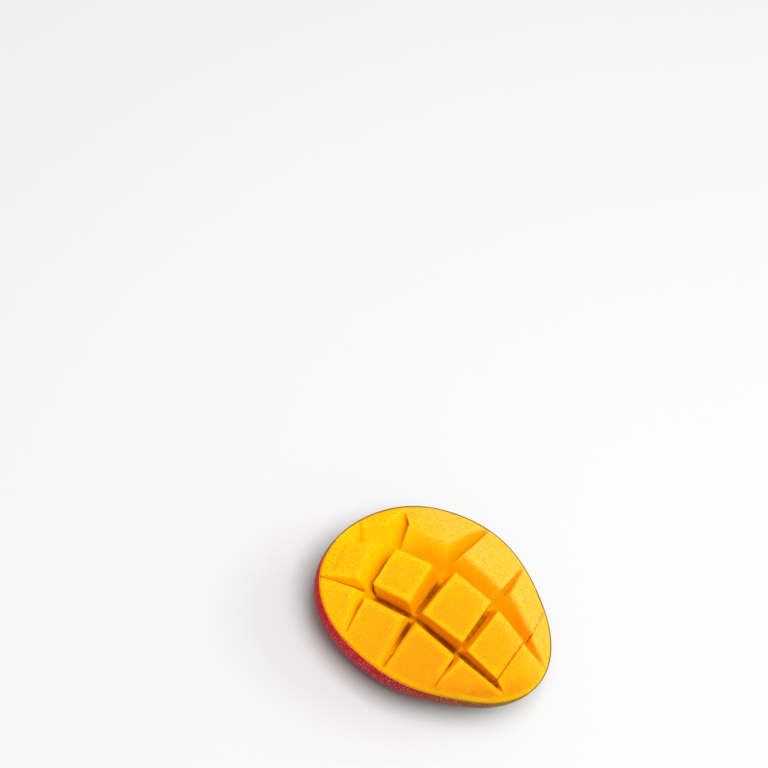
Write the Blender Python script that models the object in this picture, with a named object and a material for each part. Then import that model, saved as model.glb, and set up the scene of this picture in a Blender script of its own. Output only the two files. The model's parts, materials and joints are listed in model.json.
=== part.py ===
"""Cubed mango half: one cheek of a ripe mango, its flesh scored into cubes and pushed outwards.

All sizes are in metres.  +X runs along the fruit towards its narrow tip, +Z out of the cut flesh.
The rim, where skin and flesh meet, lies level at RIM_Z; the skin bulges down from it to a small
flat spot that the part rests on, and the scored flesh rises above it as a low dome of facets.
"""
import math
import bpy
import bmesh
from mathutils import Vector

MM = 0.001

# Rim outline: a mean radius and its waves round the fruit (times round, cosine part, sine part).
RIM_RADIUS = 53.95 * MM
RIM_WAVES = ((2, 6.80 * MM, 2.05 * MM), (3, 1.29 * MM, -1.56 * MM),
             (4, 0.96 * MM, 0.15 * MM), (5, 0.61 * MM, -0.44 * MM))

SKIN_DEPTH = 28.0 * MM      # rim down to the deepest point of the skin
SKIN_FULLNESS = 2.7         # 2 is an ellipse; more is fuller towards the rim
SKIN_LEAN = -0.05           # deeper towards the blunt end
SKIN_BULGE = 2.1 * MM       # how far the skin swells past the rim at its fullest side
BULGE_SIDE = math.radians(262)
RIM_WALL = 2.0 * MM         # skin and flesh that the knife leaves whole round the rim
WELL_DEPTH = 6.0 * MM       # how far below the rim the cuts gape in the middle
REST_CUT = 0.45 * MM        # height of the flat spot above the deepest point

DOME_RISE = 9.0 * MM        # rim up to the top of the pushed-out flesh
DOME_POWER = 0.75           # rounds the flesh off towards the rim

SEGMENTS_ROUND = 72
SEGMENTS_DOWN = 36

# Knife lines, as the points (mm) where they cross on the rim's level.  Rows run along the fruit
# (0 low rim, 1 and 2 the lengthwise cuts, 3 high rim), columns across it (0 and 5 are the ends).
CUT_POINTS = {
    (0, 1): (-31.0, -43.0), (0, 2): (-8.0, -46.0), (0, 3): (17.5, -42.0),
    (1, 0): (-57.0, -24.0), (1, 1): (-31.5, -16.0), (1, 2): (-6.0, -14.0), (1, 3): (19.5, -15.5),
    (1, 4): (44.0, -19.0), (1, 5): (52.0, -21.5),
    (2, 0): (-57.0, 1.0), (2, 1): (-34.0, 9.0), (2, 2): (-4.0, 13.0), (2, 3): (24.0, 16.5),
    (2, 4): (47.0, 8.0), (2, 5): (63.0, 2.0),
    (3, 1): (-36.0, 38.0), (3, 2): (-1.0, 49.0), (3, 3): (27.0, 45.0), (3, 4): (49.0, 29.0),
}
# Depth of the bottom of each cut (mm, from the rim's level) between two neighbouring rows or columns.
LENGTHWISE_FLOOR = {(1, 0): -1.0, (1, 1): -4.0, (1, 2): -4.0, (1, 3): -2.0, (1, 4): 0.0,
                    (2, 0): -1.0, (2, 1): -1.5, (2, 2): -1.5, (2, 3): -1.0, (2, 4): 0.0}
CROSSWISE_FLOOR = {(0, 1): -0.5, (0, 2): -0.5, (0, 3): -0.5,
                   (1, 1): -1.0, (1, 2): -3.0, (1, 3): -1.5, (1, 4): 0.0,
                   (2, 1): -0.5, (2, 2): -0.5, (2, 3): -0.5, (2, 4): -0.5}

# Cubes, by row and by their first and last column: how far each side of the top facet stands in
# from its knife line (mm, at the line's two ends).  A side on the rim has none.
CUBES = {
    (0, 0, 1): {"high": (0.0, 2.8), "right": (0.9, 10.2)},
    (0, 1, 2): {"high": (5.8, 5.4), "left": (-0.9, -2.4), "right": (0.5, 7.6)},
    (0, 2, 3): {"high": (5.0, 6.2), "left": (0.9, 0.2), "right": (-0.5, 0.1)},
    (0, 3, 5): {"high": (5.5, 0.4), "left": (0.2, 4.2)},
    (1, 0, 1): {"low": (1.2, 4.8), "high": (3.4, -3.0), "right": (10.0, 10.2)},
    (1, 1, 2): {"low": (2.2, 2.6), "high": (0.1, -0.3), "left": (-2.8, 0.4), "right": (8.1, 9.9)},
    (1, 2, 3): {"low": (1.0, 1.5), "high": (-2.7, 3.1), "left": (-0.1, 1.8), "right": (0.7, 2.5)},
    (1, 3, 4): {"low": (0.0, 0.8), "high": (4.2, 2.3), "left": (3.4, 3.2), "right": (1.2, 1.8)},
    (1, 4, 5): {"low": (0.0, -0.8), "high": (3.2, 0.4), "left": (-0.4, -1.0)},
    (2, 0, 1): {"low": (7.9, 15.2), "right": (12.3, 1.9)},
    (2, 1, 2): {"low": (13.7, 17.2), "left": (2.0, 1.9), "right": (17.0, 0.4)},
    (2, 2, 3): {"low": (15.6, 7.6), "left": (-2.2, 4.3), "right": (2.5, 0.0)},
    (2, 3, 4): {"low": (10.0, 6.3), "left": (4.0, 1.0), "right": (0.1, 1.9)},
    (2, 4, 5): {"low": (3.5, 1.2), "left": (0.6, -1.2)},
}
RIM_REACH = 0.95            # where a facet meets the rounded edge, as a share of the way to the rim

# More trims of single cubes, each a plane through three points (mm).
TRIMS = {
    (1, 3): (((27.2, 11.5, 7.2), (22.6, 10.3, 2.5), (27.4, 13.9, 2.8)),),
    (2, 0): (((-53.3, 12.5, 1.35), (-47.7, 5.5, -0.84), (-48.5, 4.9, -2.7)),),
    (2, 1): (((-33.6, 24.8, 4.3), (-30.3, 28.6, 4.1), (-35.0, 37.3, 0.3)),),
    (2, 2): (((2.0, 43.5, 2.7), (26.0, 38.9, 2.3), (15.0, 47.3, 0.2)),),
}
# Undercut walls, which don't start from their knife line: each a plane through three points (mm).
WALLS = {
    (1, 1): {"left": ((-34.1, -13.5, 6.5), (-33.3, 8.7, 6.4), (-28.4, -15.2, -2.0))},
    (2, 1): {"left": ((-33.6, 24.8, 4.3), (-30.4, 13.2, -1.0), (-32.9, 29.6, -4.4))},
}
# Low flesh that fills the ends of two cuts: its outline, and the planes over it (mm).
FILLS = (
    (((-63.0, -4.0), (-50.0, -4.0), (-47.0, 4.5), (-53.0, 13.0), (-63.0, 13.0)),
     (((-59.0, 0.0, 0.3), (-55.5, 12.0, 0.3), (-47.7, 5.5, -2.4)),)),
    (((-33.6, 24.8), (-45.0, 38.3), (-42.0, 45.0), (-30.0, 45.0), (-30.3, 28.6)),
     (((-33.6, 24.8, 4.3), (-30.3, 28.6, 4.1), (-35.0, 37.3, 0.3)),
      ((-33.6, 24.8, 4.3), (-39.1, 31.3, 0.9), (-33.4, 27.2, -0.1)))),
)


def rim_radius(angle):
    """Distance of the rim from the middle of the fruit in this direction."""
    return RIM_RADIUS + sum(c * math.cos(n * angle) + s * math.sin(n * angle) for n, c, s in RIM_WAVES)


def dome_height(x, y):
    """Height of the pushed-out flesh above the rim's level."""
    across = math.hypot(x, y) / rim_radius(math.atan2(y, x))
    return DOME_RISE * max(0.0, 1.0 - across ** 2) ** DOME_POWER


def whole_shape():
    """The cheek before scoring: skin below the rim, an even dome of flesh above it."""
    shape = bmesh.new()
    bmesh.ops.create_uvsphere(shape, u_segments=SEGMENTS_ROUND, v_segments=SEGMENTS_DOWN, radius=1.0)
    for vertex in shape.verts:
        across = min(1.0, math.hypot(vertex.co.x, vertex.co.y))
        angle = math.atan2(vertex.co.y, vertex.co.x) if across > 1e-6 else 0.0
        height = vertex.co.z
        if height < -1e-6:
            across = across ** (2.0 / SKIN_FULLNESS)
            down = (-height) ** (2.0 / SKIN_FULLNESS)
            rim = rim_radius(angle)
            side = (0.5 + 0.5 * math.cos(angle - BULGE_SIDE)) ** 3
            rim += SKIN_BULGE * side * math.sin(math.pi * min(1.0, down * 1.25))
            x, y = across * rim * math.cos(angle), across * rim * math.sin(angle)
            vertex.co = (x, y, -SKIN_DEPTH * down * (1.0 + SKIN_LEAN * x / RIM_RADIUS))
        else:
            rim = rim_radius(angle)
            x, y = across * rim * math.cos(angle), across * rim * math.sin(angle)
            vertex.co = (x, y, dome_height(x, y))
    return shape


def cut_away(shape, point, normal):
    """Cut off what lies on the normal's side of a plane and close the cut."""
    geometry = shape.verts[:] + shape.edges[:] + shape.faces[:]
    cut = bmesh.ops.bisect_plane(shape, geom=geometry, plane_co=point, plane_no=normal, clear_outer=True)
    edges = [item for item in cut["geom_cut"] if isinstance(item, bmesh.types.BMEdge)]
    if edges:
        bmesh.ops.contextual_create(shape, geom=edges)


def trimmed_block(planes, inside):
    """A large block cut by planes, keeping the side of each that holds the inside point."""
    block = bmesh.new()
    bmesh.ops.create_cube(block, size=1.0)
    for vertex in block.verts:
        vertex.co = (vertex.co.x * 200 * MM, vertex.co.y * 160 * MM, vertex.co.z * 40 * MM)
    for point, normal in planes:
        if (inside - point).dot(normal) > 0:
            normal = -normal
        cut_away(block, point, normal)
    bmesh.ops.recalc_face_normals(block, faces=block.faces[:])
    return block


def three_point_plane(points):
    a, b, c = (Vector(point) * MM for point in points)
    return a, (b - a).cross(c - a).normalized()


def inset_line(start, end, insets, inside):
    """A knife line moved in to the facet's edge, as two points (m)."""
    start, end = Vector(start) * MM, Vector(end) * MM
    across = Vector((start.y - end.y, end.x - start.x)).normalized()
    if (inside - start).dot(across) < 0:
        across = -across
    return start + across * insets[0] * MM, end + across * insets[1] * MM


def crossing(first, second):
    """Where two lines, each given by two points, cross."""
    along, other = first[1] - first[0], second[1] - second[0]
    share = (second[0] - first[0]).cross(other) / along.cross(other)
    return first[0] + along * share


def on_rim(angle):
    return Vector((math.cos(angle), math.sin(angle))) * rim_radius(angle) * RIM_REACH


def end_at_rim(line):
    """The outer end of a facet's edge: where its line nears the rim."""
    inner, outer = line
    along = (outer - inner).normalized()
    low, high = 0.0, 2.2 * RIM_RADIUS
    for _ in range(40):
        middle = (low + high) / 2
        point = inner + along * middle
        if point.length < rim_radius(math.atan2(point.y, point.x)) * RIM_REACH:
            low = middle
        else:
            high = middle
    return inner + along * low


def facet_corners(sides, lines):
    """Corners of a cube's top in the order low left, low right, high right, high left."""
    corners = {}
    for key in (("low", "left"), ("low", "right"), ("high", "right"), ("high", "left")):
        level, end = key
        if level in sides and end in sides:
            corners[key] = crossing(lines[level], lines[end])
        elif level in sides:
            line = lines[level]
            corners[key] = end_at_rim(line if end == "right" else line[::-1])
        elif end in sides:
            line = lines[end]
            corners[key] = end_at_rim(line if level == "high" else line[::-1])
    order = (("low", "left"), ("low", "right"), ("high", "right"), ("high", "left"))
    for place, key in enumerate(order):
        if key not in corners:
            before, after = corners[order[place - 1]], corners[order[(place + 1) % 4]]
            middle = before + after
            corners[key] = on_rim(math.atan2(middle.y, middle.x))
    return [Vector((*corners[key], dome_height(*corners[key]))) for key in order]


def cube_column(row, first, last, sides):
    """One cube with its root: a block trimmed by the cube's sides and by its top facet."""
    ends = {"low": ((row, first), (row, last)), "high": ((row + 1, first), (row + 1, last)),
            "left": ((row, first), (row + 1, first)), "right": ((row, last), (row + 1, last))}
    known = [Vector(CUT_POINTS[point]) for side in sides for point in ends[side]]
    inside = sum(known, Vector((0, 0))) / len(known) * MM
    cuts = {side: [CUT_POINTS[point] for point in ends[side]] for side in sides}
    lines = {side: inset_line(*cuts[side], sides[side], inside) for side in sides}
    corners = facet_corners(sides, lines)
    edges = {"low": (0, 1), "right": (1, 2), "high": (2, 3), "left": (3, 0)}
    floors = {"low": LENGTHWISE_FLOOR.get((row, first)), "high": LENGTHWISE_FLOOR.get((row + 1, first)),
              "left": CROSSWISE_FLOOR.get((row, first)), "right": CROSSWISE_FLOOR.get((row, last))}
    planes = []
    for side in sides:
        if side in WALLS.get((row, first), {}):
            planes.append(three_point_plane(WALLS[(row, first)][side]))
            continue
        start, end = (corners[place] for place in edges[side])
        base = (Vector(cuts[side][0]) + Vector(cuts[side][1])) / 2
        base = Vector((base.x, base.y, floors[side])) * MM
        planes.append((base, (end - start).cross(base - start).normalized()))
    middle = sum(corners, Vector()) / 4
    planes.append((middle, (corners[2] - corners[0]).cross(corners[3] - corners[1]).normalized()))
    planes.extend(three_point_plane(points) for points in TRIMS.get((row, first), ()))
    return trimmed_block(planes, middle - Vector((0, 0, 3 * MM)))


def low_flesh(outline, tops):
    """A low piece of flesh with upright sides, under one or more planes."""
    outline = [Vector((x, y, 0)) * MM for x, y in outline]
    planes = [three_point_plane(points) for points in tops]
    for start, end in zip(outline, outline[1:] + outline[:1]):
        planes.append((start, (end - start).cross(Vector((0, 0, 1))).normalized()))
    middle = sum(outline, Vector()) / len(outline)
    return trimmed_block(planes, middle - Vector((0, 0, 3 * MM)))


def scoring_well():
    """The room inside the rim that the knife reaches: deep in the middle, shallow at the rim."""
    well = bmesh.new()
    bmesh.ops.create_uvsphere(well, u_segments=SEGMENTS_ROUND, v_segments=SEGMENTS_DOWN, radius=1.0)
    for vertex in well.verts:
        angle = math.atan2(vertex.co.y, vertex.co.x)
        reach = math.hypot(vertex.co.x, vertex.co.y) * (rim_radius(angle) - RIM_WALL)
        height = vertex.co.z * (WELL_DEPTH if vertex.co.z < 0 else 20 * MM)
        vertex.co = (reach * math.cos(angle), reach * math.sin(angle), height)
    return well


def add_object(name, shape, collection):
    mesh = bpy.data.meshes.new(name)
    shape.to_mesh(mesh)
    shape.free()
    item = bpy.data.objects.new(name, mesh)
    collection.objects.link(item)
    return item


def apply_boolean(target, operation, operand=None, collection=None):
    step = target.modifiers.new("join", "BOOLEAN")
    step.operation = operation
    step.solver = "MANIFOLD"
    if collection is not None:
        step.operand_type = "COLLECTION"
        step.collection = collection
    else:
        step.object = operand
    bpy.context.view_layer.objects.active = target
    bpy.ops.object.modifier_apply(modifier=step.name)


def fill_hidden_pockets(item):
    """Closed-in gaps between the roots of the cubes are filled: only the outer surface stays."""
    shape = bmesh.new()
    shape.from_mesh(item.data)
    unseen = set(shape.verts)
    surfaces = []
    while unseen:
        edge_of_patch = [unseen.pop()]
        surface = []
        while edge_of_patch:
            vertex = edge_of_patch.pop()
            surface.append(vertex)
            near = [edge.other_vert(vertex) for edge in vertex.link_edges]
            fresh = [other for other in near if other in unseen]
            unseen.difference_update(fresh)
            edge_of_patch.extend(fresh)
        surfaces.append(surface)
    surfaces.sort(key=len)
    for surface in surfaces[:-1]:
        bmesh.ops.delete(shape, geom=surface, context="VERTS")
    shape.to_mesh(item.data)
    shape.free()


def flesh_material():
    material = bpy.data.materials.new("mango flesh")
    material.use_nodes = True
    shader = material.node_tree.nodes["Principled BSDF"]
    shader.inputs["Base Color"].default_value = (0.90, 0.45, 0.02, 1.0)
    shader.inputs["Roughness"].default_value = 0.35
    return material


def main():
    for item in list(bpy.data.objects):
        bpy.data.objects.remove(item, do_unlink=True)
    scene = bpy.context.scene.collection

    root = bmesh.new()
    bmesh.ops.create_cube(root, size=1.0)
    for vertex in root.verts:
        vertex.co = (vertex.co.x * 220 * MM, vertex.co.y * 180 * MM, (vertex.co.z * 60 - 30) * MM)
    scored = add_object("scored", root, scene)
    well = add_object("well", scoring_well(), scene)
    apply_boolean(scored, "DIFFERENCE", operand=well)
    bpy.data.objects.remove(well, do_unlink=True)
    cubes = bpy.data.collections.new("cubes")
    scene.children.link(cubes)
    for outline, tops in FILLS:
        add_object("low flesh", low_flesh(outline, tops), cubes)
    for (row, first, last), sides in CUBES.items():
        add_object(f"cube {row} {first}", cube_column(row, first, last, sides), cubes)
    apply_boolean(scored, "UNION", collection=cubes)
    for item in list(cubes.objects):
        bpy.data.objects.remove(item, do_unlink=True)
    bpy.data.collections.remove(cubes)

    shape = whole_shape()
    deepest = min(vertex.co.z for vertex in shape.verts)
    cut_away(shape, Vector((0, 0, deepest + REST_CUT)), Vector((0, 0, -1)))
    half = add_object("mango_half", shape, scene)
    apply_boolean(half, "INTERSECT", operand=scored)
    bpy.data.objects.remove(scored, do_unlink=True)
    fill_hidden_pockets(half)

    points = [vertex.co for vertex in half.data.vertices]
    middle_x = (min(p.x for p in points) + max(p.x for p in points)) / 2
    middle_y = (min(p.y for p in points) + max(p.y for p in points)) / 2
    bottom = min(p.z for p in points)
    for point in points:
        point.x -= middle_x
        point.y -= middle_y
        point.z -= bottom
    half.data.materials.clear()
    half.data.materials.append(flesh_material())


main()
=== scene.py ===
"""Cubed mango half: the scored flesh, the skin that carries it, and a plain stage.

Laid out as a Blender add-on and run as a script.  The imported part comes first, as a fixed frame;
the flesh and the skin are modelled around it, in the same place and size, and stand for it.
Shapes are worked out in millimetres about the middle of the fruit with the rim, where skin and
flesh meet, at height 0, and moved to the frame at the end.
"""
import json
import math

import bmesh
import bpy
import numpy as np
from mathutils import Matrix, Vector, noise
from mathutils.bvhtree import BVHTree

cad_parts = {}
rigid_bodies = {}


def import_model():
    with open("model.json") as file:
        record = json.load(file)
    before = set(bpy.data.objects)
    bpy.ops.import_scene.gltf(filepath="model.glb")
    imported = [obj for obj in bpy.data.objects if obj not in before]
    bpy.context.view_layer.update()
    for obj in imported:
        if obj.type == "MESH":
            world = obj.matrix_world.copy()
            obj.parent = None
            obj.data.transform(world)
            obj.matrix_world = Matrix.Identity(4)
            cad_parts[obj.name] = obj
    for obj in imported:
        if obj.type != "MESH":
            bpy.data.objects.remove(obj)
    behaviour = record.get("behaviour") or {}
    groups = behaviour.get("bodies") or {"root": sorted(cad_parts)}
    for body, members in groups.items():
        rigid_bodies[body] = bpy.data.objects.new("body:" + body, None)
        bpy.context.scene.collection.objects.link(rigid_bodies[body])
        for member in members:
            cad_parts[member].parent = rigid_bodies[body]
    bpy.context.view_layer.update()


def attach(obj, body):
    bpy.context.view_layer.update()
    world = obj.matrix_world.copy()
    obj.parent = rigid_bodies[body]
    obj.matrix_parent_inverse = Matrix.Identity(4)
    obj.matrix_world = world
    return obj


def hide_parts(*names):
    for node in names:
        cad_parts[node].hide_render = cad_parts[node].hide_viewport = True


bl_info = {
    "name": "Cubed mango half",
    "version": (1, 0, 0),
    "blender": (4, 5, 0),
    "location": "3D View > Sidebar > Mango",
    "description": "A mango half scored into cubes and pushed out, with its skin and a plain stage",
    "category": "Add Mesh",
}

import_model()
NODE = "mango_half"
MM = 0.001

# Rim outline (mm): a mean radius and its waves round the fruit (times round, cosine, sine part).
RIM_RADIUS = 53.95
RIM_WAVES = ((2, 6.80, 2.05), (3, 1.29, -1.56), (4, 0.96, 0.15), (5, 0.61, -0.44))
SKIN_DEPTH = 28.0
SKIN_FULLNESS = 2.7                     # 2 is an oval bowl, more is fuller
SKIN_LEAN = -0.05                       # how much deeper the bowl is towards +X
SKIN_BULGE = 2.1                        # how far the side swells past the rim (mm)
BULGE_SIDE = math.radians(262)
BULGE_NARROWING, BULGE_SPREAD = 3, 1.25
REST_CUT = 0.45                         # how much of the bottom is flat, so that it lies still (mm)
DOME_RISE = 9.0
DOME_POWER = 0.75
PLACING_ROUND, PLACING_DOWN = 72, 36    # the frame's own mesh, which its box comes from
FLESH_ROUND, FLESH_DOWN = 256, 128
SKIN_ROUND, SKIN_DOWN = 320, 200
WELL_WALL, WELL_DEPTH = 1.6, 6.0        # flesh left uncut inside the skin, and the deepest scoring
WELL_RISE = 20.0                        # how far the well stands above the rim, clear of the dome
SKIN_GRIP = 0.12                        # how far the flesh reaches into the skin
COVERED_LEVEL = -WELL_DEPTH - 0.5       # below this the skin covers the flesh
COVERED_THINNING = 0.9                  # share of the triangles left out there
BASE_SIZE = (220, 180, 60)              # the flesh under the cuts, before it is shaped (mm)
BLOCK_SIZE = (200, 160, 40)             # what each cube is cut from (mm)
BELOW_TOP = Vector((0, 0, 3))           # a point this far under a facet lies inside its cube

# Knife lines: where they cross, by row and column.  Rows run along the fruit (0 low rim, 1 and 2
# the lengthwise cuts, 3 high rim), columns across it (0 and 5 are the ends).
CUT_POINTS = {
    (0, 1): (-31.0, -43.0), (0, 2): (-8.0, -46.0), (0, 3): (17.5, -42.0),
    (1, 0): (-57.0, -24.0), (1, 1): (-31.5, -16.0), (1, 2): (-6.0, -14.0), (1, 3): (19.5, -15.5),
    (1, 4): (44.0, -19.0), (1, 5): (52.0, -21.5),
    (2, 0): (-57.0, 1.0), (2, 1): (-34.0, 9.0), (2, 2): (-4.0, 13.0), (2, 3): (24.0, 16.5),
    (2, 4): (47.0, 8.0), (2, 5): (63.0, 2.0),
    (3, 1): (-36.0, 38.0), (3, 2): (-1.0, 49.0), (3, 3): (27.0, 45.0), (3, 4): (49.0, 29.0),
}
# Height of the bottom of each stretch of cut, by the point where it starts (mm).
LENGTHWISE_FLOOR = {(1, 0): -1.0, (1, 1): -4.0, (1, 2): -4.0, (1, 3): -2.0, (1, 4): 0.0,
                    (2, 0): -1.0, (2, 1): -1.5, (2, 2): -1.5, (2, 3): -1.0, (2, 4): 0.0}
CROSSWISE_FLOOR = {(0, 1): -0.5, (0, 2): -0.5, (0, 3): -0.5,
                   (1, 1): -1.0, (1, 2): -3.0, (1, 3): -1.5, (1, 4): 0.0,
                   (2, 1): -0.5, (2, 2): -0.5, (2, 3): -0.5, (2, 4): -0.5}
# Cubes, by row and by first and last column: how far each side of the top facet stands in from
# its knife line, at the line's two ends.  A side on the rim has none.
CUBES = {
    (0, 0, 1): {"high": (0.0, 2.8), "right": (0.9, 10.2)},
    (0, 1, 2): {"high": (5.8, 5.4), "left": (-0.9, -2.4), "right": (0.5, 7.6)},
    (0, 2, 3): {"high": (5.0, 6.2), "left": (0.9, 0.2), "right": (-0.5, 0.1)},
    (0, 3, 5): {"high": (5.5, 0.4), "left": (0.2, 4.2)},
    (1, 0, 1): {"low": (1.2, 4.8), "high": (3.4, -3.0), "right": (10.0, 10.2)},
    (1, 1, 2): {"low": (2.2, 2.6), "high": (0.1, -0.3), "left": (-2.8, 0.4), "right": (8.1, 9.9)},
    (1, 2, 3): {"low": (1.0, 1.5), "high": (-2.7, 3.1), "left": (-0.1, 1.8), "right": (0.7, 2.5)},
    (1, 3, 4): {"low": (0.0, 0.8), "high": (4.2, 2.3), "left": (3.4, 3.2), "right": (1.2, 1.8)},
    (1, 4, 5): {"low": (0.0, -0.8), "high": (3.2, 0.4), "left": (-0.4, -1.0)},
    (2, 0, 1): {"low": (7.9, 15.2), "right": (12.3, 1.9)},
    (2, 1, 2): {"low": (13.7, 17.2), "left": (2.0, 1.9), "right": (17.0, 0.4)},
    (2, 2, 3): {"low": (15.6, 7.6), "left": (-2.2, 4.3), "right": (2.5, 0.0)},
    (2, 3, 4): {"low": (10.0, 6.3), "left": (4.0, 1.0), "right": (0.1, 1.9)},
    (2, 4, 5): {"low": (3.5, 1.2), "left": (0.6, -1.2)},
}
# How far out facets without a cut on that side end, as a share of the rim's radius, and how that
# place is looked for along an edge.
RIM_REACH = 0.95
SEARCH_REACH, SEARCH_STEPS = 2.2 * RIM_RADIUS, 40
# Further cuts across a cube, by row and first column: each a plane through three points (mm).
TRIMS = {
    (1, 3): (((27.2, 11.5, 7.2), (22.6, 10.3, 2.5), (27.4, 13.9, 2.8)),),
    (2, 0): (((-53.3, 12.5, 1.35), (-47.7, 5.5, -0.84), (-48.5, 4.9, -2.7)),),
    (2, 1): (((-33.6, 24.8, 4.3), (-30.3, 28.6, 4.1), (-35.0, 37.3, 0.3)),),
    (2, 2): (((2.0, 43.5, 2.7), (26.0, 38.9, 2.3), (15.0, 47.3, 0.2)),),
}
# Undercut walls, which don't start from their knife line: each a plane through three points (mm).
WALLS = {
    (1, 1): {"left": ((-34.1, -13.5, 6.5), (-33.3, 8.7, 6.4), (-28.4, -15.2, -2.0))},
    (2, 1): {"left": ((-33.6, 24.8, 4.3), (-30.4, 13.2, -1.0), (-32.9, 29.6, -4.4))},
}
# Low flesh that fills the ends of two cuts: its outline, and the planes over it (mm).
FILLS = (
    (((-63.0, -4.0), (-50.0, -4.0), (-47.0, 4.5), (-53.0, 13.0), (-63.0, 13.0)),
     (((-59.0, 0.0, 0.3), (-55.5, 12.0, 0.3), (-47.7, 5.5, -2.4)),)),
    (((-33.6, 24.8), (-45.0, 38.3), (-42.0, 45.0), (-30.0, 45.0), (-30.3, 28.6)),
     (((-33.6, 24.8, 4.3), (-30.3, 28.6, 4.1), (-35.0, 37.3, 0.3)),
      ((-33.6, 24.8, 4.3), (-39.1, 31.3, 0.9), (-33.4, 27.2, -0.1)))),
)

# Places that get less light than their depth tells, and fine knife marks, between facets that
# hardly parted and where cuts run out at the rim, their slits painted dark as shade: both ends,
# width (mm) and strength.
DIM_PLACES = (((-6.5, -17.0), (-8.6, -40.0), 4.5, 0.22), ((-49.4, 4.2), (-54.6, 10.8), 2.6, 0.30))
KNIFE_MARKS = (
    ((43.2, -19.0), (45.6, 8.0), 0.55, 0.8), ((47.3, 8.0), (47.5, 31.0), 0.55, 0.8),
    ((-58.5, -24.4), (-34.0, -16.8), 0.8, 0.75), ((-53.0, -20.0), (-54.3, -2.4), 0.9, 0.25),
    ((-6.9, -36.5), (-7.7, -44.5), 0.5, 0.6), ((18.9, -30.0), (18.7, -39.4), 0.45, 0.6),
    ((-33.6, -24.5), (-31.8, -41.0), 0.5, 0.5),
)

# How far the cubes' edges are rounded off (mm), and the top edges that differ, by cube and side.
CRISP_EDGE, WIDEST_EDGE, EDGE_SEGMENTS = 0.8, 2.4, 4
SAME_TURN, SAME_PLACE = 0.9999, 0.01    # when a face counts as lying on a plane
EDGES = {
    (0, 0): {"high": 1.2, "right": 1.8}, (0, 1): {"high": 2.0, "right": 2.2},
    (0, 2): {"high": 2.0, "right": 0.5}, (0, 3): {"high": 1.8, "left": 1.4},
    (1, 0): {"low": 1.2, "right": 1.3}, (1, 1): {"low": 1.3, "right": 1.6},
    (1, 2): {"low": 1.3}, (1, 3): {"low": 1.2, "right": 0.3}, (1, 4): {"left": 0.3},
    (2, 3): {"right": 0.3, "low": 1.2}, (2, 4): {"left": 0.3, "low": 1.2},
    (2, 1): {"low": 1.4, "right": 1.6}, (2, 2): {"low": 1.2}, (2, 0): {"low": 1.2, "right": 1.4},
}

# How the cuts are measured: the depth that counts as full, how far rays look for walls, how many
# there are, how far off the surface they start, how much less the far walls count, and how many
# times each measure is averaged with its neighbours.
FULL_DEPTH = 10.0
RAY_REACH, RAY_COUNT, RAY_START, FAR_LOSS = 13.0, 16, 0.2, 0.6
DEPTH_ROUNDS, BRINK_ROUNDS, SHELTER_ROUNDS, NEARNESS_ROUNDS = 6, 80, 9, 30

# Hand-cut unevenness: the height where it starts and over which it grows, and its two waves (mm).
UNEVEN_FROM, UNEVEN_OVER = -1.5, 2.0
BROAD_WAVE, FINE_WAVE, FINE_SHARE, FINE_SHIFT = 17.0, 5.0, 0.45, Vector((31, 7, 3))

# Where the flesh changes colour (mm): the middle of the amber patch on the low side and how far it
# reaches, and the oval of the rim, as half its length, half its width and how that narrows along X.
AMBER_X, AMBER_Y, AMBER_REACH = 15.0, -35.0, (8.0, 80.0)
OVAL_LENGTH, OVAL_WIDTH, OVAL_NARROWING = 61.0, 48.0, 0.25
FIBRE_TURN = math.radians(15)

# The photograph's camera, in the frame of the resting part, and the stage round it (m).
CAMERA_PLACE = (-0.1247, -0.4584, 1.0100)
CAMERA_TURN = tuple(math.radians(angle) for angle in (23.5958, -17.3662, 29.9702))
CAMERA_LENS, CAMERA_SENSOR = 103.1, 36.0
WINDOW_PLACE, WINDOW_SIZE = (0.93, 0.93, 0.92), (1.2, 0.8)
CEILING_PLACE, CEILING_SIZE = (0.0, -0.08, 1.45), (1.0, 1.0)
LIGHT_AIM = Vector((0, 0, 0.02))
FLOOR_HALF = 3.0


def linear(red, green, blue):
    """A screen colour (0 to 255) as the linear colour that shaders use."""
    return tuple(((v / 255 + 0.055) / 1.055) ** 2.4 if v > 10 else v / 255 / 12.92
                 for v in (red, green, blue))


# Colours of the flesh in places, and painted light and shade on it, beside those in its settings.
LOW_RIM_COLOUR = linear(205, 128, 0)
# Painted highlight: lemon yellow on the tops beside the cuts and high on the cube sides.
BRINK_HIGHLIGHT_COLOUR = linear(255, 208, 0)
MOTTLE_COLOUR = linear(248, 140, 0)
GRAIN_COLOUR = linear(230, 148, 0)
# Painted light on the walls at the left end, painted shade on those at the right end and low down.
LEFT_WALL_LIGHT_COLOUR = linear(255, 184, 0)
RIGHT_WALL_SHADE_COLOUR = linear(240, 132, 0)
LOW_WALL_SHADE_COLOUR = linear(248, 134, 0)
# Painted shade at the very bottom of the narrowest, deepest cuts.
DARKEST_SHADE_COLOUR = linear(158, 76, 0)
# Painted shade in the fine knife slits.
KNIFE_SLIT_SHADE_COLOUR = linear(186, 92, 0)
# The darker gaps between the fibres that carry the painted sheen.
FIBRE_GAP_COLOUR = linear(214, 140, 10)

# Colours of the skin in places, and painted shade on it, beside those in its settings.
LEFT_BLUSH_COLOUR = linear(208, 14, 0)
# Painted shade: the blush darkens towards the right end.
SHADED_BLUSH_COLOUR = linear(178, 24, 42)
STREAK_COLOUR = linear(120, 12, 16)
SHADE_SPECK_COLOUR = linear(190, 170, 96)
SUN_SPECK_COLOUR = linear(240, 156, 146)
# Painted shade: the skin darkens towards the bottom of the bowl.
UNDERSIDE_SHADE = linear(165, 140, 140)
SHADE_EDGE_COLOUR = linear(140, 104, 44)


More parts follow.
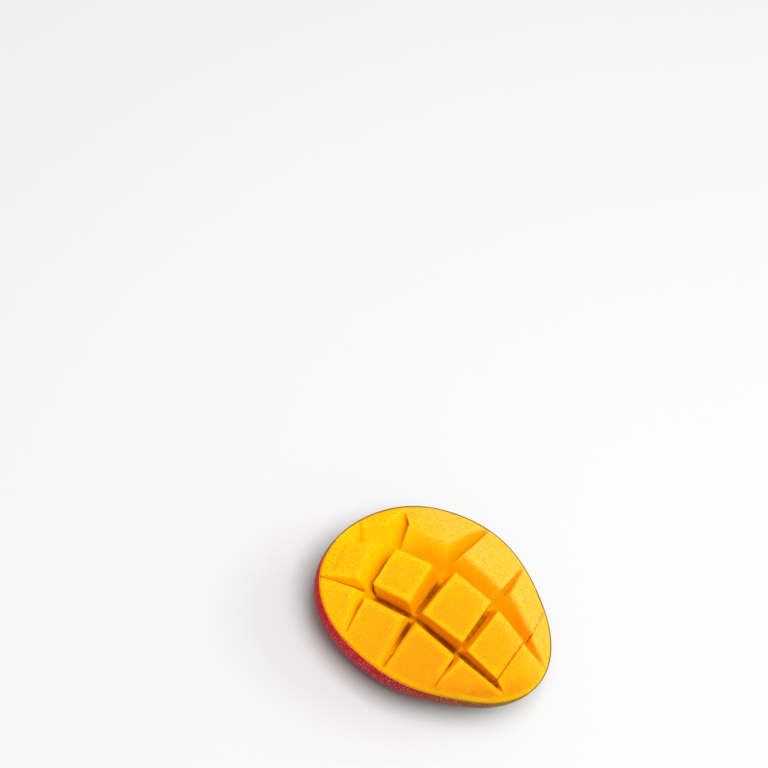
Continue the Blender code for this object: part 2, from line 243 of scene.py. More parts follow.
class FleshSettings(bpy.types.PropertyGroup):
    """Sizes and colours of the scored flesh."""
    softness: bpy.props.FloatProperty(
        name="Edge softness", description="How much the cubes' edges are rounded off, 1 as cut",
        default=1.0, min=0.1, max=2.0, subtype="FACTOR")
    grain: bpy.props.FloatProperty(
        name="Surface step", description="Size of the grid on which the flesh is made one surface",
        default=0.00048, min=0.0003, unit="LENGTH")
    waviness: bpy.props.FloatProperty(
        name="Waviness", description="How uneven the hand-cut surface is",
        default=0.00028, min=0.0, unit="LENGTH")
    top_colour: bpy.props.FloatVectorProperty(
        name="Facet colour", description="Colour of the flesh on top of the cubes",
        subtype="COLOR", size=3, min=0.0, max=1.0, default=linear(255, 190, 0))
    # The facets turn amber towards a point on the low side.
    amber_colour: bpy.props.FloatVectorProperty(
        name="Amber patch", description="Colour of the facets where the flesh is ripest",
        subtype="COLOR", size=3, min=0.0, max=1.0, default=linear(255, 153, 0))
    # Painted sheen: pale fibres on the high side stand in for light glancing off those facets.
    fibre_sheen_colour: bpy.props.FloatVectorProperty(
        name="Fibre colour", description="Colour of the dry fibres on the high side",
        subtype="COLOR", size=3, min=0.0, max=1.0, default=linear(255, 190, 84))
    # The sides of the cubes: partly the flesh's own colour, partly painted shade down the cuts.
    wall_colour: bpy.props.FloatVectorProperty(
        name="Wall colour", description="Colour of the flesh on the sides of the cubes",
        subtype="COLOR", size=3, min=0.0, max=1.0, default=linear(255, 158, 0))
    # Painted shade at the bottom of the cuts.
    deep_shade_colour: bpy.props.FloatVectorProperty(
        name="Cut colour", description="Colour of the flesh at the bottom of the cuts",
        subtype="COLOR", size=3, min=0.0, max=1.0, default=linear(234, 162, 0))


class SkinSettings(bpy.types.PropertyGroup):
    """Sizes and colours of the skin."""
    thickness: bpy.props.FloatProperty(
        name="Thickness", description="How thick the skin is",
        default=0.0006, min=0.0004, unit="LENGTH")
    blush_colour: bpy.props.FloatVectorProperty(
        name="Blush", description="Colour of the sunny side",
        subtype="COLOR", size=3, min=0.0, max=1.0, default=linear(212, 24, 40))
    warm_colour: bpy.props.FloatVectorProperty(
        name="Between", description="Colour where the blush fades",
        subtype="COLOR", size=3, min=0.0, max=1.0, default=linear(150, 76, 12))
    green_colour: bpy.props.FloatVectorProperty(
        name="Shade side", description="Colour of the side away from the sun",
        subtype="COLOR", size=3, min=0.0, max=1.0, default=linear(150, 138, 36))
    edge_colour: bpy.props.FloatVectorProperty(
        name="Cut edge", description="Colour of the skin where the knife went through it",
        subtype="COLOR", size=3, min=0.0, max=1.0, default=linear(226, 122, 14))


class StageSettings(bpy.types.PropertyGroup):
    """Floor, lights and camera."""
    floor_colour: bpy.props.FloatVectorProperty(
        name="Floor", description="Colour of the floor",
        subtype="COLOR", size=3, min=0.0, max=1.0, default=linear(218, 218, 219))
    window_power: bpy.props.FloatProperty(
        name="Window light", description="Power of the light behind the fruit, on its right",
        default=9.0, min=0.0, unit="POWER")
    ceiling_power: bpy.props.FloatProperty(
        name="Ceiling light", description="Power of the large light overhead", default=22.5, min=0.0,
        unit="POWER")
    room_strength: bpy.props.FloatProperty(
        name="Room light", description="Strength of the even light all round", default=0.26, min=0.0)
    lens: bpy.props.FloatProperty(
        name="Lens", description="Focal length of the camera", default=CAMERA_LENS, min=10.0,
        unit="CAMERA")


def rim_radius(angle):
    """Distance of the rim from the middle of the fruit in this direction."""
    return RIM_RADIUS + sum(cosine * math.cos(times * angle) + sine * math.sin(times * angle)
                            for times, cosine, sine in RIM_WAVES)


def dome_height(x, y):
    """Height of the pushed-out flesh above the rim's level."""
    across = math.hypot(x, y) / rim_radius(math.atan2(y, x))
    return DOME_RISE * max(0.0, 1.0 - across ** 2) ** DOME_POWER


def cheek_point(unit, inset=0.0):
    """Where a point of the unit ball lands on the cheek, or a little inside its skin."""
    across = min(1.0, math.hypot(unit.x, unit.y))
    angle = math.atan2(unit.y, unit.x) if across > 1e-6 else 0.0
    rim = rim_radius(angle) - inset
    if unit.z >= -1e-6:
        x, y = across * rim * math.cos(angle), across * rim * math.sin(angle)
        return Vector((x, y, DOME_RISE * max(0.0, 1.0 - across ** 2) ** DOME_POWER))
    across = across ** (2.0 / SKIN_FULLNESS)
    down = (-unit.z) ** (2.0 / SKIN_FULLNESS)
    side = (0.5 + 0.5 * math.cos(angle - BULGE_SIDE)) ** BULGE_NARROWING
    rim += SKIN_BULGE * side * math.sin(math.pi * min(1.0, down * BULGE_SPREAD))
    x, y = across * rim * math.cos(angle), across * rim * math.sin(angle)
    return Vector((x, y, -(SKIN_DEPTH - inset) * down * (1.0 + SKIN_LEAN * x / RIM_RADIUS)))


def ball(segments_round, segments_down):
    """A ball of radius 1 with a pole at the top and one at the bottom."""
    shape = bmesh.new()
    bmesh.ops.create_uvsphere(shape, u_segments=segments_round, v_segments=segments_down, radius=1.0)
    return shape


def resting_place():
    """How far the middle of the rim lies from the frame's origin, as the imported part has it."""
    shape = ball(PLACING_ROUND, PLACING_DOWN)
    points = [cheek_point(vertex.co) for vertex in shape.verts]
    shape.free()
    low = Vector([min(point[axis] for point in points) for axis in range(3)])
    high = Vector([max(point[axis] for point in points) for axis in range(3)])
    return Vector((-(low.x + high.x) / 2, -(low.y + high.y) / 2, -(low.z + REST_CUT)))


PLACE = resting_place()


def lowest_point():
    """Height of the deepest point of the whole cheek below the rim."""
    return -PLACE.z - REST_CUT


def cut_away(shape, point, normal):
    """Cut off what lies on the normal's side of a plane and close the cut."""
    geometry = shape.verts[:] + shape.edges[:] + shape.faces[:]
    cut = bmesh.ops.bisect_plane(shape, geom=geometry, plane_co=point, plane_no=normal,
                                 clear_outer=True)
    edges = [item for item in cut["geom_cut"] if isinstance(item, bmesh.types.BMEdge)]
    if edges:
        bmesh.ops.contextual_create(shape, geom=edges)


def trimmed_block(planes, inside, softness=None):
    """A block cut by named planes, keeping the side of each that holds the inside point.

    Where two of the block's faces meet, the edge is marked with how far it is to be rounded off.
    """
    block = bmesh.new()
    bmesh.ops.create_cube(block, size=1.0, matrix=Matrix.Diagonal((*BLOCK_SIZE, 1)))
    for point, normal in planes.values():
        cut_away(block, point, -normal if (inside - point).dot(normal) > 0 else normal)
    bmesh.ops.recalc_face_normals(block, faces=block.faces[:])
    block.normal_update()
    weight = block.edges.layers.float.new("bevel_weight_edge")
    for edge in block.edges:
        names = set()
        for face in edge.link_faces:
            middle = face.calc_center_median()
            names.update(name for name, (point, normal) in planes.items()
                         if abs(face.normal.dot(normal)) > SAME_TURN
                         and abs((middle - point).dot(normal)) < SAME_PLACE)
        soft = [value for name, value in (softness or {}).items()
                if name in names and "top" in names]
        edge[weight] = (soft[0] if soft else CRISP_EDGE) / WIDEST_EDGE
    return block


def three_point_plane(points):
    """A plane through three points, as a point on it and its normal."""
    a, b, c = (Vector(point) for point in points)
    return a, (b - a).cross(c - a).normalized()


def inset_line(start, end, insets, inside):
    """A knife line moved in to the facet's edge, as two points."""
    start, end = Vector(start), Vector(end)
    across = Vector((start.y - end.y, end.x - start.x)).normalized()
    if (inside - start).dot(across) < 0:
        across = -across
    return start + across * insets[0], end + across * insets[1]


def crossing(first, second):
    """Where two lines, each given by two points, cross."""
    along, other = first[1] - first[0], second[1] - second[0]
    return first[0] + along * ((second[0] - first[0]).cross(other) / along.cross(other))


def end_at_rim(line):
    """The outer end of a facet's edge: where its line nears the rim."""
    inner, outer = line
    along = (outer - inner).normalized()
    low, high = 0.0, SEARCH_REACH
    for _ in range(SEARCH_STEPS):
        middle = (low + high) / 2
        point = inner + along * middle
        if point.length < rim_radius(math.atan2(point.y, point.x)) * RIM_REACH:
            low = middle
        else:
            high = middle
    return inner + along * low


def facet_corners(sides, lines):
    """Corners of a cube's top in the order low left, low right, high right, high left."""
    order = (("low", "left"), ("low", "right"), ("high", "right"), ("high", "left"))
    corners = {}
    for level, end in order:
        if level in sides and end in sides:
            corners[(level, end)] = crossing(lines[level], lines[end])
        elif level in sides:
            corners[(level, end)] = end_at_rim(lines[level] if end == "right" else lines[level][::-1])
        elif end in sides:
            corners[(level, end)] = end_at_rim(lines[end] if level == "high" else lines[end][::-1])
    for place, key in enumerate(order):
        if key not in corners:
            middle = corners[order[place - 1]] + corners[order[(place + 1) % 4]]
            angle = math.atan2(middle.y, middle.x)
            corners[key] = Vector((math.cos(angle), math.sin(angle))) * rim_radius(angle) * RIM_REACH
    return [Vector((*corners[key], dome_height(*corners[key]))) for key in order]


def cube_planes(row, first, last, sides):
    """The planes that bound one cube, by name, and a point inside it."""
    ends = {"low": ((row, first), (row, last)), "high": ((row + 1, first), (row + 1, last)),
            "left": ((row, first), (row + 1, first)), "right": ((row, last), (row + 1, last))}
    cuts = {side: [CUT_POINTS[point] for point in ends[side]] for side in sides}
    known = [Vector(point) for side in sides for point in cuts[side]]
    inside = sum(known, Vector((0, 0))) / len(known)
    lines = {side: inset_line(*cuts[side], sides[side], inside) for side in sides}
    corners = facet_corners(sides, lines)
    edges = {"low": (0, 1), "right": (1, 2), "high": (2, 3), "left": (3, 0)}
    floors = {"low": LENGTHWISE_FLOOR.get((row, first)),
              "high": LENGTHWISE_FLOOR.get((row + 1, first)),
              "left": CROSSWISE_FLOOR.get((row, first)), "right": CROSSWISE_FLOOR.get((row, last))}
    planes = {}
    for side in sides:
        if side in WALLS.get((row, first), {}):
            planes[side] = three_point_plane(WALLS[(row, first)][side])
            continue
        start, end = (corners[place] for place in edges[side])
        base = (Vector(cuts[side][0]) + Vector(cuts[side][1])) / 2
        base = Vector((base.x, base.y, floors[side]))
        planes[side] = (base, (end - start).cross(base - start).normalized())
    middle = sum(corners, Vector()) / 4
    planes["top"] = (middle, (corners[2] - corners[0]).cross(corners[3] - corners[1]).normalized())
    for place, points in enumerate(TRIMS.get((row, first), ())):
        planes[f"trim {place}"] = three_point_plane(points)
    return planes, middle - BELOW_TOP


def low_planes(outline, tops):
    """The planes of a low piece of flesh with upright sides, and a point inside it."""
    outline = [Vector((x, y, 0)) for x, y in outline]
    planes = {f"top {place}": three_point_plane(points) for place, points in enumerate(tops)}
    for place, (start, end) in enumerate(zip(outline, outline[1:] + outline[:1])):
        planes[f"side {place}"] = (start, (end - start).cross(Vector((0, 0, 1))).normalized())
    return planes, sum(outline, Vector()) / len(outline) - BELOW_TOP


def as_object(name, shape, collection=None):
    """Make an object of a bmesh, which is used up."""
    mesh = bpy.data.meshes.new(name)
    shape.to_mesh(mesh)
    shape.free()
    item = bpy.data.objects.new(name, mesh)
    (collection or bpy.context.scene.collection).objects.link(item)
    return item


def finish_with(item, kind, **settings):
    """Put a modifier on a piece and apply it."""
    step = item.modifiers.new(kind.lower(), kind)
    for key, value in settings.items():
        setattr(step, key, value)
    bpy.context.view_layer.objects.active = item
    bpy.ops.object.modifier_apply(modifier=step.name)


def remove(item):
    bpy.data.objects.remove(item, do_unlink=True)


def only_outer_surface(item):
    """Closed-in gaps between the roots of the cubes are filled: only the outer surface stays."""
    shape = bmesh.new()
    shape.from_mesh(item.data)
    unseen = set(shape.verts)
    surfaces = []
    while unseen:
        front = [unseen.pop()]
        surface = []
        while front:
            vertex = front.pop()
            surface.append(vertex)
            fresh = [other for other in (edge.other_vert(vertex) for edge in vertex.link_edges)
                     if other in unseen]
            unseen.difference_update(fresh)
            front.extend(fresh)
        surfaces.append(surface)
    surfaces.sort(key=len)
    for surface in surfaces[:-1]:
        bmesh.ops.delete(shape, geom=surface, context="VERTS")
    shape.to_mesh(item.data)
    shape.free()


def hemisphere_rays(count):
    """Even directions about +Z, more of them near it."""
    rays = []
    for place in range(count):
        height = math.sqrt(1.0 - (place + 0.5) / count)
        around = place * math.pi * (3.0 - math.sqrt(5.0))
        flat = math.sqrt(1.0 - height * height)
        rays.append(Vector((flat * math.cos(around), flat * math.sin(around), height)))
    return rays


def softened(mesh, values, rounds):
    """Values on a mesh's points, each averaged with its neighbours this many times."""
    ends = np.empty(len(mesh.edges) * 2, dtype=np.int32)
    mesh.edges.foreach_get("vertices", ends)
    first, second = ends[0::2], ends[1::2]
    count = np.bincount(ends, minlength=len(values)) + 1.0
    for _ in range(rounds):
        total = values + np.bincount(first, values[second], len(values))
        values = (total + np.bincount(second, values[first], len(values))) / count
    return values


def mark_cuts(item):
    """Store on each point how deep it lies, how shut in it is, and what lies round it.

    "brink" is the depth of the wider surroundings, so that on top it grows towards a cut, and
    "nearness" is how shut in the surroundings are.
    """
    mesh = item.data
    depth, shelter = np.zeros(len(mesh.vertices)), np.zeros(len(mesh.vertices))
    tree = BVHTree.FromPolygons([vertex.co for vertex in mesh.vertices],
                                [face.vertices[:] for face in mesh.polygons])
    directions = hemisphere_rays(RAY_COUNT)
    for place, vertex in enumerate(mesh.vertices):
        x, y, z = vertex.co
        if z < COVERED_LEVEL:
            continue
        depth[place] = max(0.0, min(1.0, (dome_height(x, y) - z) / FULL_DEPTH))
        turn = Vector((0, 0, 1)).rotation_difference(vertex.normal)
        start = vertex.co + vertex.normal * RAY_START
        for direction in directions:
            distance = tree.ray_cast(start, turn @ direction, RAY_REACH)[3]
            if distance is not None:
                shelter[place] += (1.0 - FAR_LOSS * distance / RAY_REACH) / RAY_COUNT
    shelter = softened(mesh, shelter, SHELTER_ROUNDS)
    measures = {"depth": softened(mesh, depth, DEPTH_ROUNDS),
                "brink": softened(mesh, depth, BRINK_ROUNDS),
                "shelter": shelter,
                "nearness": softened(mesh, shelter, NEARNESS_ROUNDS)}
    for name, values in measures.items():
        attribute = mesh.attributes.new(name, "FLOAT", "POINT")
        attribute.data.foreach_set("value", values.astype(np.float32))


def place_piece(item):
    """Bring a piece from the rim's millimetres to the frame's metres, and hand it over."""
    item.data.transform(Matrix.Scale(MM, 4) @ Matrix.Translation(PLACE))
    item.data.shade_smooth()
    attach(item, "root")
    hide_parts(NODE)


class Term:
    """A shader value that can be used in arithmetic."""

    def __init__(self, builder, socket):
        self.builder, self.socket = builder, socket

    def _with(self, operation, other, swapped=False):
        values = (other, self) if swapped else (self, other)
        return self.builder.node("ShaderNodeMath", {"operation": operation}, dict(enumerate(values)))

    def __add__(self, other):
        return self._with("ADD", other)

    __radd__ = __add__

    def __sub__(self, other):
        return self._with("SUBTRACT", other)

    def __rsub__(self, other):
        return self._with("SUBTRACT", other, True)

    def __mul__(self, other):
        return self._with("MULTIPLY", other)

    __rmul__ = __mul__

    def __truediv__(self, other):
        return self._with("DIVIDE", other)

    def __rtruediv__(self, other):
        return self._with("DIVIDE", other, True)

    def __pow__(self, other):
        return self._with("POWER", other)

    def __rpow__(self, other):
        return self._with("POWER", other, True)


class Finish:
    """One material, its nodes made by a single method."""

    def __init__(self, name):
        self.material = bpy.data.materials.new(name)
        self.material.use_nodes = True
        self.tree = self.material.node_tree
        self.shader = self.tree.nodes["Principled BSDF"]

    def node(self, kind, settings=None, inputs=None, output=0):
        """Make a node: its settings first, then its sockets by name or number."""
        made = self.tree.nodes.new(kind)
        for key, value in (settings or {}).items():
            if key == "stops":
                ramp = made.color_ramp
                while len(ramp.elements) < len(value):
                    ramp.elements.new(0.5)
                for element, (place, colour) in zip(ramp.elements, value):
                    element.position = place
                    element.color = (*colour, 1.0) if len(colour) == 3 else colour
            else:
                setattr(made, key, value)
        for key, value in (inputs or {}).items():
            self.feed(made.inputs[key], value)
        return Term(self, made.outputs[output])

    def feed(self, socket, value):
        """Link a term to a socket, or set the socket's value."""
        if isinstance(value, Term):
            self.tree.links.new(value.socket, socket)
        elif socket.type == "RGBA" and len(value) == 3:
            socket.default_value = (*value, 1.0)
        else:
            socket.default_value = value

    def set(self, **values):
        """Set or link sockets of the surface shader, named in lower case with underscores."""
        sockets = {socket.name.lower().replace(" ", "_"): socket for socket in self.shader.inputs}
        for key, value in values.items():
            self.feed(sockets[key], value)

    def place(self):
        """Object coordinates in millimetres about the middle of the rim."""
        point = self.node("ShaderNodeTexCoord", output="Object")
        return self.node("ShaderNodeMapping", {}, {
            "Vector": point, "Scale": (1.0 / MM,) * 3, "Location": tuple(-value for value in PLACE)})

    def split(self, vector):
        """The three parts of a vector."""
        first = self.node("ShaderNodeSeparateXYZ", {}, {"Vector": vector})
        return [Term(self, socket) for socket in first.socket.node.outputs]

    def noise(self, vector, size, detail=2.0, roughness=0.5, distortion=0.0):
        """Smooth noise whose patches are about this many millimetres wide."""
        return self.node("ShaderNodeTexNoise", {}, {
            "Vector": vector, "Scale": 1.0 / size, "Detail": detail, "Roughness": roughness,
            "Distortion": distortion})

    def ramp(self, value, low, high, start=0.0, end=1.0):
        """Value taken from low..high to start..end, held at both ends, with a soft start and stop."""
        return self.node("ShaderNodeMapRange", {"interpolation_type": "SMOOTHSTEP"}, {
            "Value": value, "From Min": low, "From Max": high, "To Min": start, "To Max": end})

    def mix(self, factor, first, second, blend="MIX"):
        """Two colours mixed; a Mix node's colours are its sockets 6 and 7, and its output 2."""
        return self.node("ShaderNodeMix", {"data_type": "RGBA", "blend_type": blend},
                         {"Factor": factor, 6: first, 7: second}, output=2)

    def attribute(self, name):
        """A number that is stored on the mesh."""
        return self.node("ShaderNodeAttribute", {"attribute_name": name}, output="Fac")

    def bump(self, height, distance):
        return self.node("ShaderNodeBump", {}, {
            "Height": height, "Distance": distance, "Strength": 1.0})


def flesh_envelope(inset, floor):
    """The cheek inside its skin: the space that the flesh fills."""
    shape = ball(FLESH_ROUND, FLESH_DOWN)
    for vertex in shape.verts:
        vertex.co = cheek_point(vertex.co, inset)
        vertex.co.z = max(vertex.co.z, floor)
    return shape


def scoring_well():
    """The room inside the rim that the knife reached: deep in the middle, shallow at the rim."""
    well = ball(PLACING_ROUND, PLACING_DOWN)
    for vertex in well.verts:
        angle = math.atan2(vertex.co.y, vertex.co.x)
        reach = math.hypot(vertex.co.x, vertex.co.y) * (rim_radius(angle) - WELL_WALL)
        height = vertex.co.z * (WELL_DEPTH if vertex.co.z < 0 else WELL_RISE)
        vertex.co = (reach * math.cos(angle), reach * math.sin(angle), height)
    return well


def scored_block(softness):
    """Flesh below the cuts, with every cube standing on it, not yet shaped to the cheek."""
    base = bmesh.new()
    level_top = Matrix.Translation((0, 0, -BASE_SIZE[2] / 2))
    bmesh.ops.create_cube(base, size=1.0, matrix=level_top @ Matrix.Diagonal((*BASE_SIZE, 1)))
    scored = as_object("scored", base)
    well = as_object("well", scoring_well())
    finish_with(scored, "BOOLEAN", operation="DIFFERENCE", solver="MANIFOLD", object=well)
    remove(well)
    cubes = bpy.data.collections.new("cubes")
    bpy.context.scene.collection.children.link(cubes)
    blocks = [trimmed_block(*low_planes(outline, tops)) for outline, tops in FILLS]
    blocks += [trimmed_block(*cube_planes(row, first, last, sides), EDGES.get((row, first)))
               for (row, first, last), sides in CUBES.items()]
    for place, block in enumerate(blocks):
        cube = as_object(f"cube_{place}", block, cubes)
        finish_with(cube, "BEVEL", width=WIDEST_EDGE * softness, limit_method="WEIGHT",
                    segments=EDGE_SEGMENTS, profile=0.5, affect="EDGES")
    finish_with(scored, "BOOLEAN", operation="UNION", solver="MANIFOLD", operand_type="COLLECTION",
                collection=cubes)
    for item in list(cubes.objects):
        remove(item)
    bpy.data.collections.remove(cubes)
    return scored


def roughen(item, amount):
    """Small hand-cut unevenness where the flesh shows; none where the skin covers it."""
    normals = [vertex.normal.copy() for vertex in item.data.vertices]
    for vertex, normal in zip(item.data.vertices, normals):
        shown = max(0.0, min(1.0, (vertex.co.z - UNEVEN_FROM) / UNEVEN_OVER))
        if shown:
            broad = noise.noise(vertex.co / BROAD_WAVE)
            fine = noise.noise(vertex.co / FINE_WAVE + FINE_SHIFT)
            vertex.co += normal * (amount * shown * (broad + FINE_SHARE * fine))


def thin_out_covered(item):
    """Fewer triangles where the skin covers the flesh; the rest stays as it is."""
    covered = [vertex.index for vertex in item.data.vertices if vertex.co.z < COVERED_LEVEL]
    share = len(covered) / len(item.data.vertices)
    group = item.vertex_groups.new(name="covered")
    group.add(covered, 1.0, "REPLACE")
    finish_with(item, "DECIMATE", ratio=1.0 - share * COVERED_THINNING, vertex_group=group.name)
    item.vertex_groups.clear()


class MANGO_OT_flesh(bpy.types.Operator):
    """Model the flesh: scored into cubes, pushed out into a dome, and one solid surface"""
    bl_idname = "mango.flesh"
    bl_label = "Flesh"

    def execute(self, context):
        settings = context.scene.mango_flesh
        inset = context.scene.mango_skin.thickness / MM - SKIN_GRIP
        scored = scored_block(settings.softness)
        flesh = as_object("flesh", flesh_envelope(inset, lowest_point() + REST_CUT + inset))
        finish_with(flesh, "BOOLEAN", operation="INTERSECT", solver="MANIFOLD", object=scored)
        remove(scored)
        only_outer_surface(flesh)
        finish_with(flesh, "REMESH", mode="VOXEL", voxel_size=settings.grain / MM,
                    use_smooth_shade=True)
        finish_with(flesh, "SMOOTH", factor=0.5, iterations=2)
        thin_out_covered(flesh)
        roughen(flesh, settings.waviness / MM)
        mark_cuts(flesh)
        flesh.data.materials.clear()
        flesh.data.materials.append(flesh_material(settings))
        place_piece(flesh)
        return {"FINISHED"}


class MANGO_OT_skin(bpy.types.Operator):
    """Model the skin as a thin shell under the flesh, up to its cut edge"""
    bl_idname = "mango.skin"
    bl_label = "Skin"

    def execute(self, context):
        settings = context.scene.mango_skin
        shape = ball(SKIN_ROUND, SKIN_DOWN)
        bmesh.ops.bisect_plane(shape, geom=shape.verts[:] + shape.edges[:] + shape.faces[:],
                               plane_co=(0, 0, 0), plane_no=(0, 0, 1), clear_outer=True)
        floor = lowest_point() + REST_CUT
        for vertex in shape.verts:
            vertex.co = cheek_point(Vector((vertex.co.x, vertex.co.y, min(vertex.co.z, -2e-6))))
            vertex.co.z = max(vertex.co.z, floor)
        bmesh.ops.recalc_face_normals(shape, faces=shape.faces[:])
        bmesh.ops.solidify(shape, geom=shape.faces[:], thickness=settings.thickness / MM)
        skin = as_object("skin", shape)
        skin.data.materials.append(skin_material(settings))
        place_piece(skin)
        return {"FINISHED"}


class MANGO_OT_stage(bpy.types.Operator):
    """Set up the floor, the lights and the camera of the photograph's view"""
    bl_idname = "mango.stage"
    bl_label = "Stage"

    def execute(self, context):
        settings = context.scene.mango_stage
        scene = context.scene
        shape = bmesh.new()
        bmesh.ops.create_grid(shape, x_segments=2, y_segments=2, size=FLOOR_HALF)
        floor = as_object("floor", shape)
        floor.data.materials.append(floor_material(settings))

        add_light("window", WINDOW_PLACE, WINDOW_SIZE, settings.window_power)
        add_light("ceiling", CEILING_PLACE, CEILING_SIZE, settings.ceiling_power)

        world = bpy.data.worlds.new("room")
        world.use_nodes = True
        background = world.node_tree.nodes["Background"]
        background.inputs["Color"].default_value = (1.0, 1.0, 1.0, 1.0)
        background.inputs["Strength"].default_value = settings.room_strength
        scene.world = world
        scene.view_settings.view_transform = "Standard"

        camera = bpy.data.objects.new("camera", bpy.data.cameras.new("camera"))
        camera.data.lens = settings.lens
        camera.data.sensor_width = CAMERA_SENSOR
        camera.location = CAMERA_PLACE
        camera.rotation_euler = CAMERA_TURN
        scene.collection.objects.link(camera)
        scene.camera = camera
        return {"FINISHED"}


def add_light(name, place, size, power):
    """A soft rectangular light that faces the fruit."""
    lamp = bpy.data.lights.new(name, "AREA")
    lamp.shape = "RECTANGLE"
    lamp.size, lamp.size_y = size
    lamp.energy = power
    item = bpy.data.objects.new(name, lamp)
    item.location = place
    item.rotation_euler = (Vector(place) - LIGHT_AIM).to_track_quat("Z", "Y").to_euler()
    bpy.context.scene.collection.objects.link(item)


def knife_mark(flesh, x, y, mark):
    """Strong along one fine knife mark, nothing beside it."""
    start, end, width, strength = mark
    start, end = Vector(start), Vector(end)
    length = (end - start).length
    along = (end - start) / length
    forward = (x - start.x) * along.x + (y - start.y) * along.y
    aside = (x - start.x) * along.y - (y - start.y) * along.x
    ends = flesh.ramp(forward, -0.5, 1.5) * flesh.ramp(forward, length - 1.5, length + 0.5, 1.0, 0.0)
    return flesh.ramp(aside * aside, 0.0, width ** 2, strength, 0.0) * ends


def flesh_material(settings):
    """Ripe flesh: golden on top, orange with painted shade down the cuts, and fibres with a painted
    sheen on the high side.
    """
    flesh = Finish("mango flesh")
    place = flesh.place()
    x, y, _ = flesh.split(place)
    depth, shelter = flesh.attribute("depth"), flesh.attribute("shelter")
    clouds = flesh.noise(place, 9.0, 3.0, 0.55)
    mottle = flesh.noise(place, 1.3, 4.0, 0.65)
    from_amber = ((x - AMBER_X) ** 2 + (y - AMBER_Y) ** 2) ** 0.5 + (clouds - 0.5) * 24.0
    top = flesh.mix(flesh.ramp(from_amber, *AMBER_REACH), settings.amber_colour,
                    settings.top_colour)
    outward = ((x / OVAL_LENGTH) ** 2 + (y / (OVAL_WIDTH - x * OVAL_NARROWING)) ** 2) ** 0.5
    low_rim = flesh.ramp(outward, 0.84, 1.0) * flesh.ramp(x, -15.0, 30.0, 0.0, 0.95)
    low_rim = low_rim * flesh.ramp(y, -24.0, 0.0, 1.0, 0.0)
    top = flesh.mix(low_rim, top, LOW_RIM_COLOUR)
    # Painted highlight: lemon yellow where a place lies higher than the flesh round it, by the cuts.
    brink = flesh.ramp(flesh.attribute("brink") - depth, 0.0, 0.05)
    top = flesh.mix(brink * 0.5, top, BRINK_HIGHLIGHT_COLOUR)
    top = flesh.mix(flesh.ramp(mottle, 0.5, 0.75, 0.0, 0.3), top, MOTTLE_COLOUR)
    grain = flesh.noise(place, 0.7, 2.0, 0.6)
    top = flesh.mix(flesh.ramp(grain, 0.42, 0.64, 0.0, 0.7), top, GRAIN_COLOUR)
    # Painted light: yellower walls at the left end; painted shade: darker walls at the right end and
    # low down the cuts.
    wall = flesh.mix(flesh.ramp(x, -32.0, -20.0), LEFT_WALL_LIGHT_COLOUR, settings.wall_colour)
    wall = flesh.mix(flesh.ramp(x, 22.0, 40.0, 0.0, 0.7), wall, RIGHT_WALL_SHADE_COLOUR)
    wall = flesh.mix(flesh.ramp(depth, 0.35, 0.8, 0.0, 0.45), wall, LOW_WALL_SHADE_COLOUR)
    # Painted shade: how deep and shut in a place lies, and how shut in the flesh round it is, turns
    # its colour from the facet's through the walls' to the cut's and the darkest.
    shade = shelter * flesh.ramp(depth, 0.0, 0.35, 0.25, 0.7) + depth * 0.38
    shade = shade + flesh.attribute("nearness") * 0.4
    shade = shade + (clouds - 0.5) * 0.08 + (mottle - 0.5) * 0.07
    shade = shade + sum(knife_mark(flesh, x, y, mark) for mark in DIM_PLACES)
    colour = flesh.mix(flesh.ramp(shade, 0.0, 0.36), top, wall)
    colour = flesh.mix(flesh.ramp(shade, 0.5, 0.98), colour, settings.deep_shade_colour)
    colour = flesh.mix(flesh.ramp(shade, 0.84, 1.18), colour, DARKEST_SHADE_COLOUR)
    # Painted shade in the fine knife slits; the same lines also dent the surface through the bump
    # below.
    marks = sum(knife_mark(flesh, x, y, mark) for mark in KNIFE_MARKS)
    colour = flesh.mix(marks, colour, KNIFE_SLIT_SHADE_COLOUR)
    # Painted sheen: on the high side the tops go pale in fibres, with darker gaps between them.
    fibre_place = flesh.node("ShaderNodeMapping", {}, {
        "Vector": place, "Rotation": (0.0, 0.0, FIBRE_TURN), "Scale": (0.4, 1.0, 0.8)})
    fibres = flesh.noise(fibre_place, 0.9, 3.0, 0.75, 0.8)
    painted_sheen = flesh.ramp(y + x * 0.35, 10.0, 34.0, 0.08, 1.0) * flesh.ramp(depth, 0.10, 0.22, 1.0, 0.0)
    colour = flesh.mix(flesh.ramp(fibres, 0.36, 0.66) * painted_sheen, colour, settings.fibre_sheen_colour)
    colour = flesh.mix(flesh.ramp(fibres, 0.26, 0.44, 0.35, 0.0) * painted_sheen, colour, FIBRE_GAP_COLOUR)
    normal = flesh.bump(fibres * 0.6 + mottle * 0.9 + grain * 0.6 - marks, 0.0003)
    flesh.set(base_color=colour, roughness=0.34 + (mottle - 0.5) * 0.2, normal=normal,
              subsurface_weight=0.4, subsurface_radius=(1.0, 0.6, 0.1), subsurface_scale=0.005,
              ior=1.38, specular_ior_level=0.02)
    return flesh.material


